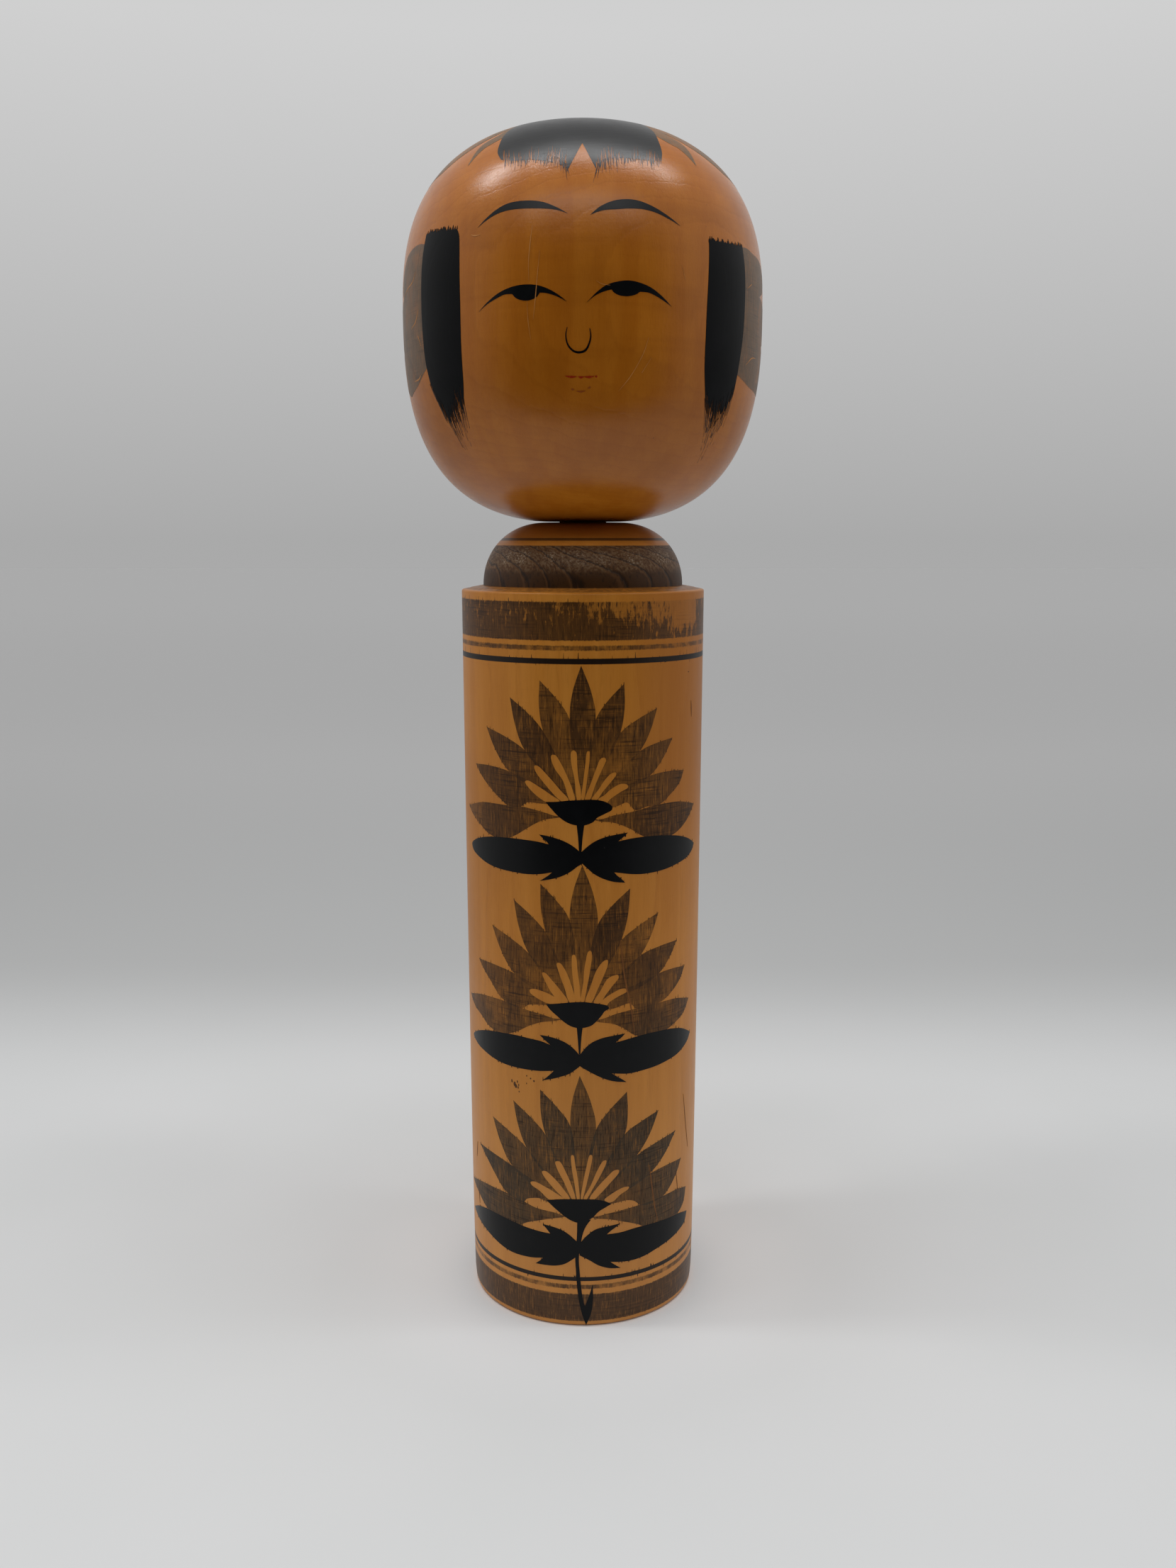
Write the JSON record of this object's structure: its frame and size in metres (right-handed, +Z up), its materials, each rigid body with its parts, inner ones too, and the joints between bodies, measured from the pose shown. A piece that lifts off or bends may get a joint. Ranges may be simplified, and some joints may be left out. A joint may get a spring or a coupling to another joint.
{
  "type": "kokeshi doll",
  "caption": "Turned wooden kokeshi doll: a cylindrical body with a stepped, domed shoulder and a large rounded head that turns on a captive neck tenon.",
  "frame": {"origin": "centre of the flat base, on the lathe axis", "axes": "+Z up along the lathe axis, -Y towards the front, where the face and the flowers are painted, +X towards the doll's own left-hand side as it faces -Y"},
  "size_m": [0.1346, 0.1346, 0.453],
  "materials": {
    "body_wood": "semi-gloss",
    "head_wood": "semi-gloss"
  },
  "bodies": {
    "body": {"body": "body_wood"},
    "head": {"head": "head_wood"}
  },
  "joints": [
    {"name": "head_turn", "type": "hinge", "parent": "body", "child": "head", "pos_m": [0, 0, 0.3114], "axis": [0, 0, 1], "continuous": true}
  ]
}
